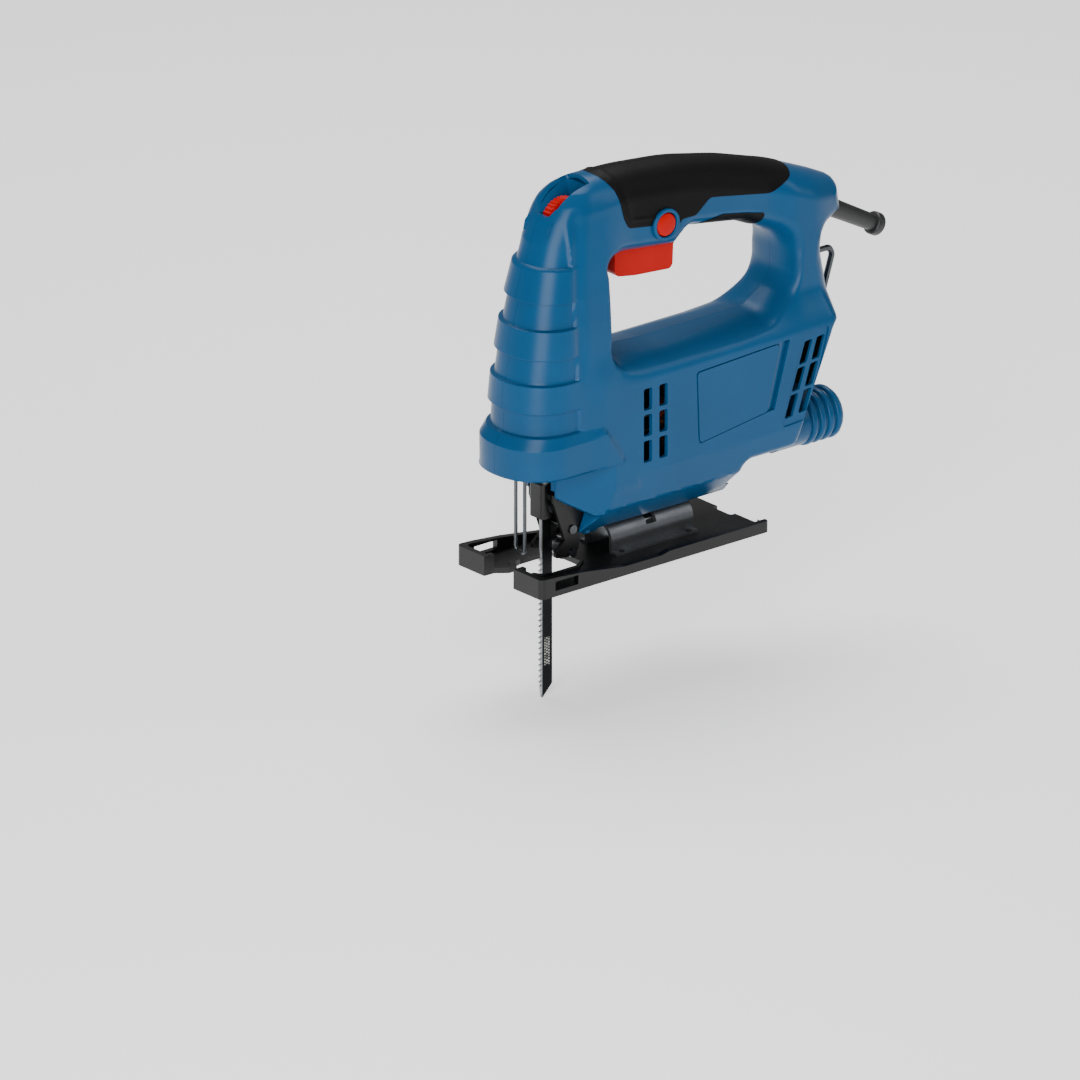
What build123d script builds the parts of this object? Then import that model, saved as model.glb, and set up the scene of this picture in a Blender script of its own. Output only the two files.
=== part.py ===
from build123d import *
import os
from math import sin, cos, pi, radians, degrees, atan2, hypot

# Corded jigsaw with its blade fitted. Millimetres. The origin is where the
# blade's centre line crosses the sole plane, -X is the front of the tool,
# -Y its left side and +Z up.

# ---------------------------------------------------------------- dimensions
WALL = 2.4                      # moulded housing wall
CLEAR = 0.3                     # gap between bodies that move past each other
FIT = 0.03                      # radial running clearance of a bearing

BODY_HALF = 27.0                # half width of the motor housing
HANDLE_HALF = 16.5              # half width of the handle
COLUMN_REAR = 27.8              # rear face of the front column
SHOULDER_Z = 112.0              # top of the motor housing, the window's floor

VISOR_Z = 58.7                  # underside of the nose
VISOR_TOP = 74.5
NOSE_X = -33.0                  # foremost point

TILT_Z = 8.0                    # base tilt axis, along X at Y = 0
ARCH_R = 10.6                   # outer radius of the tilt saddle
ARCH_T = 2.0
ARCH_X0, ARCH_X1 = 35.0, 89.0
CLAMP_SCREW_X = 62.0

BASE_X0, BASE_X1 = -30.3, 119.6
BASE_HALF = 33.5
BASE_T = 2.0
RAIL_T = 3.4

BLADE_HALF = 3.2                # half width of the blade's body
TOOTH_PITCH = 3.0
TOOTH_DEPTH = 1.4
BLADE_T = 1.5
BLADE_TIP = -69.0
TOOTH_TOP = 6.0
TANG_TOP = 42.0

MOTOR_Z = 70.0                  # motor axis, along X
GEAR_Z = 94.2                   # drive gear axis, along X
MODULE = 0.8
GEAR_TEETH, PINION_TEETH = 51, 9
GEAR_X0, GEAR_X1 = 17.0, 24.0
CRANK_R = 9.0                   # half of the blade's stroke
CRANK_PIN_R = 4.0
ROD_R = 4.5                     # plunger

DIAL_X, DIAL_Z, DIAL_R, DIAL_W = 11.5, 184.3, 12.5, 6.5
LOCK_X, LOCK_Z, LOCK_R = 65.0, 174.0, 6.2
TRIGGER_PIVOT = (76.0, 169.0)
TRIGGER_SWING = 7.0             # degrees
TRIGGER_SIDE = [(39, 164), (39, 149.5, 4), (52, 147.2, 60), (77, 145.2, 3), (77.6, 158),
                (81, 165), (81, 173, 3), (71, 173, 3), (70, 166), (44, 166, 2)]

KEY_Z = 127.5                   # where the hex key's short arm is stored
PORT_Z, PORT_R, PORT_BORE = 39.6, 14.0, 11.5
PORT_X0, PORT_X1 = 146.0, 187.0
BOOT_START = (183.0, 0.0, 151.8)
BOOT_ANGLE = -28.6              # the cord boot points rearwards and down
BOOT_LENGTH = 42.0
ROLLER_X, ROLLER_Z = 9.6, 9.0
WIRE_X, WIRE_HALF, WIRE_R = -16.2, 3.5, 0.95

NODES = {}


# ------------------------------------------------------------------- helpers
def node(name, *solids):
    """Store the solids of one sub-part."""
    NODES.setdefault(name, []).extend(solids)


def outline(points):
    """A closed polygon; a third value on a point is its corner radius."""
    sketch = Polygon(*[(p[0], p[1]) for p in points], align=None)
    for p in points:
        if len(p) > 2:
            corner = sketch.vertices().sort_by_distance((p[0], p[1], 0))[0]
            sketch = fillet(corner, p[2])
    return sketch


def slab_y(sketch, y0, y1):
    """Extrude an (X, Z) sketch from y0 to y1."""
    return extrude(Plane.XZ.offset(-y0) * sketch, amount=y1 - y0, dir=(0, 1, 0))


def slab_x(sketch, x0, x1):
    """Extrude a (Y, Z) sketch from x0 to x1."""
    return extrude(Plane.YZ.offset(x0) * sketch, amount=x1 - x0, dir=(1, 0, 0))


def slab_z(sketch, z0, z1):
    """Extrude an (X, Y) sketch from z0 to z1."""
    return extrude(Plane.XY.offset(z0) * sketch, amount=z1 - z0, dir=(0, 0, 1))


def block(x0, x1, y0, y1, z0, z1):
    return Pos((x0 + x1) / 2, (y0 + y1) / 2, (z0 + z1) / 2) * Box(x1 - x0, y1 - y0, z1 - z0)


def rod_x(radius, x0, x1, y, z):
    return slab_x(Pos(y, z) * Circle(radius), x0, x1)


def rod_y(radius, y0, y1, x, z):
    return slab_y(Pos(x, z) * Circle(radius), y0, y1)


def rod_z(radius, z0, z1, x, y):
    return slab_z(Pos(x, y) * Circle(radius), z0, z1)


def ring_x(outer, inner, x0, x1, y, z):
    return slab_x(Pos(y, z) * (Circle(outer) - Circle(inner)), x0, x1)


def gear_face(teeth, module, turn):
    """A spur gear outline with one tooth centred at the angle turn."""
    pitch_r = teeth * module / 2
    half = 0.40 * module * pi / 2
    points = []
    for i in range(teeth):
        for radius, width in ((pitch_r - 1.0, half + 0.30), (pitch_r + 0.7, half - 0.25)):
            for side in ((-1, 1) if radius > pitch_r else (-1,)):
                a = turn + 2 * pi * i / teeth + side * width / radius
                points.append((radius * cos(a), radius * sin(a)))
        a = turn + 2 * pi * i / teeth + (half + 0.30) / (pitch_r - 1.0)
        points.append(((pitch_r - 1.0) * cos(a), (pitch_r - 1.0) * sin(a)))
    return Polygon(*points, align=None)


# ------------------------------------------------------------- housing shape
BLOCK_SIDE = [(0, VISOR_Z), (150, VISOR_Z), (161, 69), (170, 94), (174.5, 98), (175, SHOULDER_Z),
              (0, SHOULDER_Z)]
FOOT_SIDE = [(-3, 64), (-3, 41), (17, 29), (12, 16), (109, 16), (113, 33), (146, 33, 3),
             (150, 40), (157, 64)]
SECTION = [(-7.3, 15.9), (7.3, 15.9), (25, 33), (BODY_HALF, 49), (BODY_HALF, 99), (24, 105),
           (15, 110), (0, SHOULDER_Z), (-15, 110), (-24, 105), (-BODY_HALF, 99),
           (-BODY_HALF, 49), (-25, 33)]
HANDLE_SIDE = [(2, 98), (2, 170, 30), (12, 203, 18), (48, 205.8, 120), (114, 195.2, 200),
               (160, 180, 60), (189, 166.5, 9), (187.8, 147, 4), (171, 145.5, 4), (171.5, 138),
               (176, 120, 30), (174, 98)]
WINDOW = [(COLUMN_REAR, 140), (COLUMN_REAR, SHOULDER_Z, 14), (61, 110.2), (130, 110.2, 12),
          (148, 122, 14), (148, 147, 13), (119, 160, 10), (84, 165.6, 5), (75, 158, 3),
          (39, 162), (COLUMN_REAR, 162, 6)]
# the dial lies in a pocket of the crown
DIAL_POCKET = [(-18, 190.5), (-4, 190.8), (2, 190), (7, 192), (13, 193.4), (19.5, 193.8), (22.5, 204),
               (23.5, 216), (-18, 216)]
# the nose: height, front, half width
NOSE = [(80.6, -29.5, 26.4), (93.3, -28.8, 26.0), (107.5, -27.4, 25.4), (121, -25.2, 24.8),
        (135.5, -22.6, 24.0), (149.5, -19.6, 22.8), (166, -15.2, 21.0), (178, -10.3, 19.4),
        (188, -5.0, 17.6), (196, 1.0, 15.0), (201, 7.0, 12.0), (203.6, 13.0, 8.5)]
RIB_RECESS = 1.7


def grown(sketch, amount):
    if amount == 0:
        return sketch
    return offset(sketch, amount, kind=Kind.INTERSECTION)


def nose_section(z, front, half, rear):
    """A D-shaped horizontal section: half an ellipse, then straight sides."""
    centre = min(0.0, front + half)
    centre = max(centre, front + 12)
    arc = EllipticalCenterArc((centre, 0), centre - front, half, start_angle=90, arc_size=180)
    sides = Polyline((centre, -half), (rear, -half), (rear, half), (centre, half))
    return Plane.XY.offset(z) * make_face([arc, sides])


def nose_slice(low, high, inset, rear):
    sections = [nose_section(z, f + inset, h - inset, rear) for z, f, h in (low, high)]
    return loft(sections, ruled=True)


def nose(inset):
    """The front column: visor, ribbed grip and crown, one slice per band."""
    rear = COLUMN_REAR - inset
    visor = (NOSE_X, 27.4)
    solid = nose_slice((VISOR_Z + inset, *visor), (VISOR_TOP, *visor), inset, rear)
    solid += nose_slice((VISOR_TOP, *visor), NOSE[0], inset, rear)
    top = len(NOSE) - 1
    for i in range(top):
        recess = RIB_RECESS if i % 2 == 0 and i < 7 else 0.0
        high = NOSE[i + 1]
        if i == top - 1:
            high = (high[0] - inset, high[1], high[2])
        solid += nose_slice(NOSE[i], high, inset + recess, rear if i < 7 else rear + 9)
    return solid


def motor_block(inset):
    """The motor housing down to the foot that the base is clamped to."""
    chin = outline([(-3, -12), (17, -23), (24, -BODY_HALF), (176, -BODY_HALF), (176, BODY_HALF),
                    (24, BODY_HALF), (17, 23), (-3, 12)])
    width = slab_x(grown(outline(SECTION), -inset), NOSE_X, 176)
    upper = slab_y(grown(outline(BLOCK_SIDE), -inset), -30, 30)
    lower = slab_y(grown(outline(FOOT_SIDE), -inset), -30, 30)
    lower = lower & slab_z(grown(chin, -inset), 0, 130)
    return (upper + lower) & width


def handle(inset):
    """The D-shaped handle with both of its columns."""
    ring = grown(outline(HANDLE_SIDE), -inset) - grown(outline(WINDOW), inset)
    plan = outline([(0, -21), (26, -21, 6), (44, -HANDLE_HALF, 12), (134, -HANDLE_HALF, 20),
                    (154, -20, 12), (174, -19, 10), (190, -12), (190, 12), (174, 19, 10),
                    (154, 20, 12), (134, HANDLE_HALF, 20), (44, HANDLE_HALF, 12), (26, 21, 6),
                    (0, 21)])
    solid = slab_y(ring, -30, 30) & slab_z(grown(plan, -inset), 90, 210)
    return solid


def housing_solid(inset):
    return motor_block(inset) + nose(inset) + handle(inset)


# ------------------------------------------------------------------- housing
def side_vents():
    """Air slots of the near and far sides, as cutting solids."""
    cuts = []
    for x in (44.9, 55.1):
        for z in (60, 74, 88):
            cuts.append(block(x - 2.7, x + 2.7, -40, 40, z - 5.7, z + 5.7))
    for low, high in (((138, 54), (152, 94.4)), ((147, 55), (160, 95))):
        lean = degrees(atan2(high[0] - low[0], high[1] - low[1]))
        length = hypot(high[0] - low[0], high[1] - low[1]) / 3
        for i in range(3):
            t = (i + 0.5) / 3
            x = low[0] + t * (high[0] - low[0])
            z = low[1] + t * (high[1] - low[1])
            cuts.append(Pos(x, 0, z) * Rot(0, lean, 0) * Box(5.2, 80, length - 2))
    return cuts


SCREW_POSTS = [(33, 194), (112, 182), (166, 163), (163, 103), (130, 42), (98, 38), (24, 52),
               (-14, 100)]


def boot_frame():
    """A plane at the boot's root whose normal is the cord's way out."""
    a = radians(BOOT_ANGLE)
    return Plane(origin=BOOT_START, x_dir=(0, 1, 0), z_dir=(cos(a), 0, sin(a)))


def build_housing():
    outer = housing_solid(0)
    core = housing_solid(WALL)
    skin = housing_solid(1.5)
    arch_groove = rod_x(ARCH_R + CLEAR, 0, 112, 0, TILT_Z)
    channel = block(-40, 12, -7.7, 7.7, 10, VISOR_Z)
    fork_slot = block(-40, 18.5, -10.3, 10.3, 5, 45)
    core -= rod_x(ARCH_R + CLEAR + WALL, 0, 112, 0, TILT_Z)
    core -= block(-40, 12 + WALL, -10.1, 10.1, 10, VISOR_Z + WALL)
    core -= block(-40, 18.5 + WALL, -12.7, 12.7, 5, 45 + WALL)
    core -= rod_z(7.5, 15, 34, CLAMP_SCREW_X, 0)
    core -= block(140, 152, -17, 17, 20, 58)
    shell = outer - core
    shell -= [arch_groove, channel, fork_slot, rod_z(7.0, 50, 64, 0, 0)]
    shell -= [rod_z(WIRE_R, 40, 70, WIRE_X, y) for y in (-WIRE_HALF, WIRE_HALF)]

    # soft grip: a skin over the handle, let into the shell
    grip_area = outline([(22, 215), (36, 184), (46, 176), (54, 167), (62, 163.5), (76, 163),
                         (84, 170), (140, 157), (158, 176), (166, 184), (160, 215)])
    grip = (outer - skin) & slab_y(grip_area, -30, 30)
    shell -= grip

    # posts for the screws that hold the two halves together
    for x, z in SCREW_POSTS:
        shell += rod_y(4.2, -30, 30, x, z) & core
    for x, z in SCREW_POSTS:
        half = screw_seat(x, z)
        shell -= rod_y(2.1, -14, half, x, z)
        shell -= rod_y(4.0, half, 40, x, z)
        grip -= rod_y(4.0, half, 40, x, z)
        node("housing_screws", screw(x, z, half))

    # bearing seats and the plunger's upper bush
    shell += block(-12, 22, -30, 30, 119, 124) & core
    shell -= rod_z(8, 110, 130, 0, 0)
    for x0, x1, hole in ((58, 60.5, 16.5), (112, 114.5, 16.5), (139.2, 146.8, 8.5)):
        shell += (block(x0, x1, -26, 26, 46, 95) & core) - rod_x(hole, x0 - 1, x1 + 1, 0, MOTOR_Z)

    cuts = side_vents()
    # louvres in the motor housing's rear end, on both sides of the hex key
    for z in (70, 77.3, 84.6, 92):
        rear = 161.4 + 0.36 * (z - 70)
        for y0, y1 in ((-21, -5.5), (5.5, 21)):
            cuts.append(block(rear - 4, rear + 9, y0, y1, z - 1.4, z + 1.4))
    # openings for the controls
    cuts.append(rod_y(LOCK_R + CLEAR, -30, -9.5, LOCK_X, LOCK_Z))
    for turn in (0, TRIGGER_SWING / 2, TRIGGER_SWING):
        cuts.append(swung(slab_y(grown(outline(TRIGGER_SIDE), 0.6), -8.4, 8.4), turn))
    pocket = outline(DIAL_POCKET)
    shell += slab_y(grown(pocket, 2.2), -9.6, 9.6) & outer
    cuts.append(slab_y(pocket, -7.4, 7.4))
    cuts.append(rod_y(DIAL_R + 0.8, -4.0, 4.0, DIAL_X, DIAL_Z))
    cuts.append(rod_x(2.0, 150, 200, 0, KEY_Z))
    cuts.append(rod_x(PORT_R - 1, 139, 200, 0, PORT_Z))
    bore = boot_frame() * Circle(5.6)
    cuts.append(extrude(bore, amount=30, both=True))
    cuts.append(rod_x(8.1, 25, 32, 0, MOTOR_Z))
    shell -= cuts
    grip -= cuts

    # the blank name panel sits in a shallow recess of the left side
    panel = outline([(132.2, 96.5, 2), (123.3, 62, 2), (79, 56, 2), (77.5, 94, 2)])
    recess = slab_y(grown(panel, 0.2), -30, -BODY_HALF + 0.6)
    shell -= recess
    node("name_panel", slab_y(panel, -BODY_HALF - 0.2, -BODY_HALF + 0.55))

    for name, y0, y1 in (("left", -40, -0.05), ("right", 0.05, 40)):
        half = shell & block(-60, 260, y0, y1, -20, 240)
        node("housing_" + name, *largest(half, 1))
        node("grip_" + name, *[s for s in (grip & block(-60, 260, y0, y1, -20, 240)).solids()
                               if s.volume > 200])


def swung(solid, degrees_up):
    """The trigger's shape turned about its pivot, front end up."""
    pivot = Axis((TRIGGER_PIVOT[0], 0, TRIGGER_PIVOT[1]), (0, 1, 0))
    return solid.rotate(pivot, degrees_up)


def largest(shape, count):
    return sorted(shape.solids(), key=lambda s: -s.volume)[:count]


def screw_seat(x, z):
    """How far out the screw heads sit on the right side."""
    return 19.0 if z < 110 else 11.0


def screw(x, z, seat):
    body = rod_y(2.0, -12, seat + 0.1, x, z) + rod_y(3.6, seat + 0.1, seat + 2.6, x, z)
    socket = slab_y(Pos(x, z) * RegularPolygon(1.7, 6), seat + 1.0, seat + 3)
    return body - socket


# ------------------------------------------------------------------ controls
def build_controls():
    px, pz = TRIGGER_PIVOT
    trigger = slab_y(outline(TRIGGER_SIDE), -7.9, 7.9)
    trigger -= rod_y(2.0 + FIT, -20, 20, px, pz)
    trigger -= block(54, 69, -5.5, 5.5, 154, 175)
    node("trigger", trigger)
    node("trigger_pin", rod_y(2.0, -13, 13, px, pz))
    switch = block(41, 57.5, -9, 9, 171.5, 192)
    switch -= rod_z(2.3, 170, 182, 50, 0)
    node("switch_body", switch)
    node("switch_plunger", rod_z(2.0, 166.4, 177, 50, 0) - rod_z(1.2, 173, 178, 50, 0))
    node("switch_terminals", *[block(35, 41, y - 1.2, y + 1.2, z, z + 0.8)
                               for y in (-5, 5) for z in (178, 186)])

    button = rod_y(LOCK_R, -17.6, -10.2, LOCK_X, LOCK_Z)
    button = fillet(button.edges().sort_by(Axis.Y)[0], 1.2)
    button -= rod_y(3.6, -12.5, -9, LOCK_X, LOCK_Z)
    node("lock_on_button", button)
    coil = Helix(pitch=1.2, height=2.6, radius=2.6, center=(LOCK_X, -9.4, LOCK_Z),
                 direction=(0, -1, 0))
    wire = Plane(origin=coil @ 0, z_dir=coil % 0) * Circle(0.3)
    node("lock_spring", sweep(wire, path=coil, is_frenet=True))

    ring = rod_y(8.5, -17.4, -16.0, LOCK_X, LOCK_Z) - rod_y(LOCK_R + CLEAR, -20, 0, LOCK_X, LOCK_Z)
    node("lock_ring", ring)
    NODES["grip_left"] = [NODES["grip_left"][0] - rod_y(8.5, -30, -16.0, LOCK_X, LOCK_Z)]
    NODES["housing_left"] = [NODES["housing_left"][0] - rod_y(8.5, -17.4, -16.0, LOCK_X, LOCK_Z)]

    dial = rod_y(DIAL_R, -DIAL_W / 2, DIAL_W / 2, DIAL_X, DIAL_Z)
    for i in range(24):
        a = 2 * pi * i / 24
        dial -= rod_y(0.7, -5, 5, DIAL_X + (DIAL_R + 0.1) * cos(a), DIAL_Z + (DIAL_R + 0.1) * sin(a))
    dial -= rod_y(1.5 + FIT, -5, 5, DIAL_X, DIAL_Z)
    node("speed_dial", dial)
    node("dial_axle", rod_y(1.5, -7.6, 7.6, DIAL_X, DIAL_Z))
    node("speed_board", block(2, 24, 5.0, 6.6, 172, 186) - rod_y(2.2, 0, 10, DIAL_X, DIAL_Z))

    root = boot_frame()
    boot = extrude(root * Circle(4.8), amount=BOOT_LENGTH)
    boot += extrude(Plane(root.location * Pos(0, 0, BOOT_LENGTH - 5)) * Circle(6.1), amount=4)
    boot += extrude(Plane(root.location * Pos(0, 0, -7)) * Circle(7.4), amount=2.6)
    boot += extrude(Plane(root.location * Pos(0, 0, -7)) * Circle(5.0), amount=8)
    boot -= extrude(Plane(root.location * Pos(0, 0, -10)) * Circle(3.7), amount=BOOT_LENGTH + 20)
    node("cord_boot", boot)


# --------------------------------------------------------------- drive train
def build_drive():
    shaft = rod_x(4.0, 36.5, 137, 0, MOTOR_Z) + rod_x(3.0, 136, 147, 0, MOTOR_Z)
    shaft += rod_x(3.0, 26, 37, 0, MOTOR_Z) + rod_x(1.8, 15.5, 27, 0, MOTOR_Z)
    node("armature_shaft", shaft)
    gap_turn = pi / 2 + pi / PINION_TEETH
    pinion = slab_x(Pos(0, MOTOR_Z) * gear_face(PINION_TEETH, MODULE, gap_turn), 16.5, 25)
    node("pinion", pinion - rod_x(1.8, 10, 30, 0, MOTOR_Z))

    core = rod_x(13.5, 68, 106, 0, MOTOR_Z) - rod_x(4.0, 60, 110, 0, MOTOR_Z)
    windings = rod_x(11.5, 62, 112, 0, MOTOR_Z) - rod_x(6.0, 60, 115, 0, MOTOR_Z)
    for i in range(12):
        a = 2 * pi * i / 12
        y, z = 10.2 * cos(a), 10.2 * sin(a)
        core -= rod_x(2.0, 60, 115, y, MOTOR_Z + z)
        core -= slab_x(Pos(0, MOTOR_Z) * Rot(0, 0, degrees(a)) * Pos(12.5, 0) * Rectangle(3, 1.2),
                       60, 115)
        node("armature_windings", rod_x(1.9, 66.5, 107.5, y, MOTOR_Z + z))
    windings -= rod_x(30, 66.5, 107.5, 0, MOTOR_Z)
    node("armature_core", core)
    node("armature_windings", *windings.solids())
    commutator = rod_x(9.0, 120, 132, 0, MOTOR_Z) - rod_x(4.0, 110, 140, 0, MOTOR_Z)
    for i in range(24):
        a = 360 * i / 24
        commutator -= slab_x(Pos(0, MOTOR_Z) * Rot(0, 0, a) * Pos(9, 0) * Rectangle(2.4, 0.5),
                             110, 140)
    node("commutator", commutator)

    fan = rod_x(20.5, 54.5, 56, 0, MOTOR_Z) + rod_x(8, 44, 56, 0, MOTOR_Z)
    for i in range(16):
        a = 360 * i / 16
        fan += slab_x(Pos(0, MOTOR_Z) * Rot(0, 0, a) * Pos(14, 0) * Rot(0, 0, 25) * Rectangle(11, 1.2),
                      46, 55)
    node("cooling_fan", fan - rod_x(4.0, 40, 60, 0, MOTOR_Z))

    stator = Circle(22) & Rectangle(44, 40)
    stator -= Circle(18.6)
    for side in (0, 180):
        shoe = (Circle(18.8) - Circle(14.2)) & (Rot(0, 0, side) * Pos(16, 0) * Rectangle(14, 19))
        stator += shoe
    node("stator_core", slab_x(Pos(0, MOTOR_Z) * stator, 67, 107))
    for side in (90, 270):
        for turn in (-32, 32):
            wedge = Polygon((0, 0), (40, -9), (40, 9), align=None)
            coil = (Circle(18.2) - Circle(14.6)) & (Rot(0, 0, side + turn * 0.8) * wedge)
            node("field_coils", slab_x(Pos(0, MOTOR_Z) * coil, 62, 112))

    for name, x0, inner, outer in (("front_bearing", 30.5, 3.0, 8.0), ("rear_bearing", 140, 3.0, 8.4)):
        node(name, ring_x(outer, inner + FIT, x0, x0 + 6, 0, MOTOR_Z))
    for side in (-1, 1):
        y0, y1 = sorted((side * 9.3, side * 18))
        node("carbon_brushes", block(123, 129, y0, y1, MOTOR_Z - 3, MOTOR_Z + 3))
        y0, y1 = sorted((side * 11, side * 23.4))
        holder = block(121.5, 130.5, y0, y1, MOTOR_Z - 4.5, MOTOR_Z + 4.5)
        node("brush_holders", holder - block(122.9, 129.1, -30, 30, MOTOR_Z - 3.1, MOTOR_Z + 3.1))
        coil = Helix(pitch=1.4, height=4.6, radius=2.0, center=(126, side * 18.4, MOTOR_Z),
                     direction=(0, side, 0))
        wire = Plane(origin=coil @ 0, z_dir=coil % 0) * Circle(0.3)
        node("brush_springs", sweep(wire, path=coil, is_frenet=True))

    gear = slab_x(Pos(0, GEAR_Z) * gear_face(GEAR_TEETH, MODULE, -pi / 2), GEAR_X0, GEAR_X1)
    gear -= ring_x(17, 8, GEAR_X0 + 4.5, GEAR_X1 + 1, 0, GEAR_Z)
    gear -= rod_x(4.0 + FIT, 0, 40, 0, GEAR_Z)
    node("drive_gear", gear - rod_x(2.5, 16, 30, CRANK_R, GEAR_Z))
    pin = rod_x(2.5, 6.2, GEAR_X0 + 4, CRANK_R, GEAR_Z)
    node("crank_pin", pin)
    node("crank_roller", ring_x(CRANK_PIN_R, 2.5, 6.4, 13.0, CRANK_R, GEAR_Z))
    node("gear_axle", rod_x(4.0, 14.4, 29.5, 0, GEAR_Z))
    frame = block(26.2, 29.9, -20, 20, VISOR_Z + 3, 103.5)
    frame += block(-11, 29.9, -16, 16, VISOR_Z + 2.5, VISOR_Z + 6.5)
    frame -= rod_z(7.2, 50, 72, 0, 0)
    frame -= rod_x(8.05, 20, 40, 0, MOTOR_Z)
    node("gear_frame", frame - rod_x(4.0, 10, 40, 0, GEAR_Z))

    rod = rod_z(ROD_R, 46, 134, 0, 0)
    yoke_side = outline([(-17.5, 82.2, 4), (17.5, 82.2, 4), (17.5, 106.2, 4), (-17.5, 106.2, 4)])
    slot_half = CRANK_PIN_R + 2.15
    slot = Pos(0, GEAR_Z) * SlotOverall(2 * (CRANK_R + CRANK_PIN_R) + 2.4, 2 * slot_half)
    yoke = slab_x(yoke_side, 3.0, 12.6) - slab_x(slot, 0, 15) - rod_z(ROD_R, 40, 140, 0, 0)
    window = slab_x(Pos(0, GEAR_Z) * Rectangle(30, 12), 0, 5.2)
    node("plunger", rod - window)
    node("yoke", *largest(yoke, 1))
    for name, z0 in (("lower_bush", VISOR_Z + 0.5), ("upper_bush", 118.5)):
        bush = rod_z(7.0, z0, z0 + 7, 0, 0) - rod_z(ROD_R + FIT, z0 - 1, z0 + 8, 0, 0)
        node(name, bush)

    clamp = block(-6.2, 6.2, -5.4, 5.4, 29, 47.2)
    clamp = fillet(clamp.edges().filter_by(Axis.Z), 1.8)
    clamp -= rod_z(ROD_R, 45.9, 60, 0, 0)
    clamp -= block(-BLADE_HALF - 0.05, BLADE_HALF + 0.05, -0.78, 0.78, 20, TANG_TOP + 0.5)
    for z in (34.6, 40.4):
        clamp -= rod_y(1.6, -10, -0.7, -0.4, z)
        head = rod_y(2.3, -7.0, -5.4, -0.4, z) + rod_y(1.6, -5.5, -0.8, -0.4, z)
        node("clamp_screws", head - slab_y(Pos(-0.4, z) * RegularPolygon(1.2, 6), -8, -6))
    node("blade_clamp", clamp)


def build_blade():
    """Coarse wood-cutting blade, teeth forward and pointing up the stroke."""
    back = BLADE_HALF + 0.9
    teeth = int((TOOTH_TOP - BLADE_TIP - 6) / TOOTH_PITCH)
    points = [(back, BLADE_TIP + 6.5), (back, 13.5), (BLADE_HALF, 16), (BLADE_HALF, TANG_TOP),
              (-BLADE_HALF, TANG_TOP), (-BLADE_HALF, 12)]
    front = -back
    z = TOOTH_TOP
    points.append((front + TOOTH_DEPTH, TOOTH_TOP + 2.5))
    for i in range(teeth):
        points.append((front + 0.1 + TOOTH_DEPTH, z))
        points.append((front, z - 0.35))
        points.append((front + TOOTH_DEPTH + 0.1, z - TOOTH_PITCH * 0.72))
        z -= TOOTH_PITCH
    points.append((front + 0.8, z))
    points.append((front + 1.8, BLADE_TIP))
    points.reverse()
    node("saw_blade", slab_y(outline(points), -BLADE_T / 2, BLADE_T / 2))


# ---------------------------------------------------------------- blade guide
def build_guide():
    cheek = outline([(-2.5, 42.5), (-2.5, 38), (4.8, 17), (-1.2, 11.5), (-1.2, 8.5, 1), (6.7, 7.5, 1),
                     (13.6, 9.5, 3), (17.2, 29.4), (17.2, 42.5)])
    for side in (-1, 1):
        y0, y1 = sorted((side * 8.0, side * 9.9))
        node("guide_bracket", slab_y(cheek, y0, y1))
    web = block(15.3, 17.2, -8.2, 8.2, 30, 42.5)
    bracket = NODES["guide_bracket"][0] + NODES["guide_bracket"][1] + web
    holes = [rod_y(1.5, -20, 20, ROLLER_X, ROLLER_Z), rod_y(1.5, -20, 20, ROLLER_X, 21.7)]
    NODES["guide_bracket"] = [bracket - holes]
    for name, z in (("roller_axle", ROLLER_Z), ("bracket_pin", 21.7)):
        pin = rod_y(1.5, -9.9, 9.9, ROLLER_X, z)
        for side in (-1, 1):
            y0, y1 = sorted((side * 9.9, side * 10.9))
            pin += rod_y(2.3, y0, y1, ROLLER_X, z)
        node(name, pin)
    roller = rod_y(5.2, -3.6, 3.6, ROLLER_X, ROLLER_Z)
    roller -= ring_y(6, 4.7, -1.1, 1.1, ROLLER_X, ROLLER_Z)
    node("guide_roller", roller - rod_y(1.5 + FIT, -10, 10, ROLLER_X, ROLLER_Z))
    for side in (-1, 1):
        y0, y1 = sorted((side * 3.8, side * 7.9))
        node("roller_spacers", ring_y(2.6, 1.5, y0, y1, ROLLER_X, ROLLER_Z))
    corners = [(-WIRE_HALF, 66), (-WIRE_HALF, 13), (WIRE_HALF, 13), (WIRE_HALF, 66)]
    path = FilletPolyline(*[(WIRE_X, y, z) for y, z in corners], radius=2.2)
    node("guard_wire", sweep(Plane(origin=path @ 0, z_dir=path % 0) * Circle(WIRE_R), path=path))


def ring_y(outer, inner, y0, y1, x, z):
    return slab_y(Pos(x, z) * (Circle(outer) - Circle(inner)), y0, y1)


# ---------------------------------------------------------------------- base
def base_outline(inset):
    half = BASE_HALF - inset
    x0, x1 = BASE_X0 + inset, BASE_X1 - inset
    return outline([(x0, -half, 3), (x1, -half, 2), (x1, half, 2), (x0, half, 3)])


def toe_gap(grow):
    """The slot between the toes, its throat and the chamber round the blade."""
    mouth, throat, room = 11.6 + grow, 6.5 + grow, 12.3 + grow
    right = [(BASE_X0 - 5, mouth), (-24, mouth - 0.4), (-18 + grow, throat), (-13 - grow, throat),
             (-10 - grow, room - 1), (-6, room), (10, room), (15.5 + grow, 9)]
    left = [(x, -y) for x, y in reversed(right)]
    return outline(right + left)


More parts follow.
